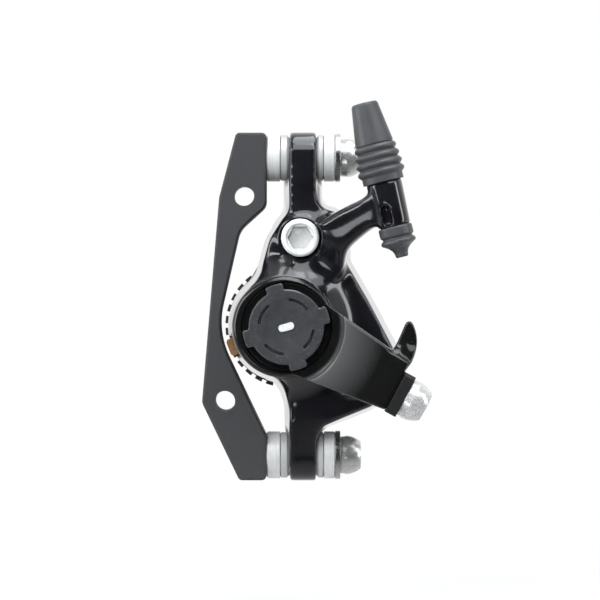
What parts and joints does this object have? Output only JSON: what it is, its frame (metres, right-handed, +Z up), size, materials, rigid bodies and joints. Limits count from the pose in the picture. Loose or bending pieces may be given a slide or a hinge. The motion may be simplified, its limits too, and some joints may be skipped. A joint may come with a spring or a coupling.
{
  "type": "bicycle disc brake caliper",
  "caption": "Cable-operated disc brake caliper on its frame bracket, with a swinging arm, ball-ramp cam, adjuster knobs and cup-and-ball washers.",
  "frame": {"origin": "midway between the two frame holes, on the bracket's outboard face", "axes": "+X from the bracket towards the bolt heads, +Y inboard along the piston axis, +Z up along the spacing of the mount bolts"},
  "size_m": [0.0562, 0.0514, 0.0934],
  "materials": {
    "bracket_grey": "matte anodised",
    "gloss_black": "gloss enamel",
    "arm_black": "satin anodised",
    "knob_grey": "satin",
    "stainless": "polished",
    "cup_metal": "matte",
    "ball_metal": "satin",
    "rough_black": "phosphated",
    "boot_rubber": "matte",
    "seal_rubber": "matte",
    "steel": "ground",
    "spring_steel": "drawn",
    "pad_plate": "copper-washed",
    "friction": "sintered",
    "bolt_black": "black oxide"
  },
  "bodies": {
    "bracket": {"adapter_bracket": "bracket_grey", "mount_bolts": "stainless", "bracket_cup_washers": "cup_metal", "bracket_ball_washers": "ball_metal", "head_ball_washers": "ball_metal", "head_cup_washers": "cup_metal", "flange_washers": "stainless"},
    "caliper_body": {"outboard_housing": "gloss_black", "inboard_housing": "gloss_black", "body_bolts": "bolt_black", "housing_boot": "boot_rubber", "cable_boot": "boot_rubber", "fixed_cam": "steel", "arm_seal": "seal_rubber", "return_spring": "spring_steel", "pad_spring": "spring_steel"},
    "thrust_washer": {"thrust_washer": "steel"},
    "arm": {"actuation_arm": "arm_black", "drive_cam": "steel", "pinch_plate": "rough_black", "pinch_bolt": "stainless"},
    "ball_set": {"ball_cage": "cup_metal", "cam_balls": "stainless"},
    "outboard_knob": {"outboard_knob": "knob_grey"},
    "foot_screw": {"foot_screw": "steel"},
    "outboard_pad": {"outboard_pressure_foot": "steel", "outboard_pad_plate": "pad_plate", "outboard_pad_lining": "friction"},
    "inboard_knob": {"inboard_knob": "knob_grey"},
    "inboard_screw": {"inboard_screw": "steel"},
    "inboard_pad": {"inboard_pressure_foot": "steel", "inboard_pad_plate": "pad_plate", "inboard_pad_lining": "friction"}
  },
  "joints": [
    {"name": "caliper_shift", "type": "slide", "parent": "bracket", "child": "caliper_body", "axis": [0, 1, 0], "range_m": [-0.0015, 0.0015]},
    {"name": "cam_travel", "type": "slide", "parent": "caliper_body", "child": "thrust_washer", "axis": [0, 1, 0], "range_m": [0, 0.000841]},
    {"name": "arm_swing", "type": "hinge", "parent": "thrust_washer", "child": "arm", "pos_m": [0.0129, 0, -0.00695], "axis": [0, -1, 0], "range_deg": [0, 24], "stiffness_Nm_per_rad": 0.4, "springref_deg": -20.05, "deforming": ["return_spring"]},
    {"name": "ball_roll", "type": "hinge", "parent": "caliper_body", "child": "ball_set", "pos_m": [0.0129, 0, -0.00695], "axis": [0, -1, 0], "range_deg": [0, 12]},
    {"name": "outboard_knob_turn", "type": "hinge", "parent": "arm", "child": "outboard_knob", "pos_m": [0.0129, 0, -0.00695], "axis": [0, 1, 0], "range_deg": [0, 360]},
    {"name": "outboard_screw_feed", "type": "slide", "parent": "outboard_knob", "child": "foot_screw", "axis": [0, 1, 0], "range_m": [0, 0.0012]},
    {"name": "outboard_pad_feed", "type": "slide", "parent": "thrust_washer", "child": "outboard_pad", "axis": [0, 1, 0], "range_m": [0, 0.0012], "deforming": ["pad_spring"]},
    {"name": "inboard_knob_turn", "type": "hinge", "parent": "caliper_body", "child": "inboard_knob", "pos_m": [0.0129, 0, -0.00695], "axis": [0, -1, 0], "range_deg": [0, 360]},
    {"name": "inboard_screw_feed", "type": "slide", "parent": "inboard_knob", "child": "inboard_screw", "axis": [0, -1, 0], "range_m": [0, 0.0012]},
    {"name": "inboard_pad_feed", "type": "slide", "parent": "caliper_body", "child": "inboard_pad", "axis": [0, -1, 0], "range_m": [0, 0.0012]}
  ],
  "couplings": [
    {"joint": "cam_travel", "follows": "arm_swing", "m_per_rad": 0.002},
    {"joint": "ball_roll", "follows": "arm_swing", "ratio": 0.5},
    {"joint": "outboard_knob_turn", "follows": "outboard_screw_feed", "rad_per_m": 5235.9},
    {"joint": "outboard_pad_feed", "follows": "outboard_screw_feed", "ratio": 1},
    {"joint": "inboard_knob_turn", "follows": "inboard_screw_feed", "rad_per_m": 5235.9},
    {"joint": "inboard_pad_feed", "follows": "inboard_screw_feed", "ratio": 1}
  ]
}
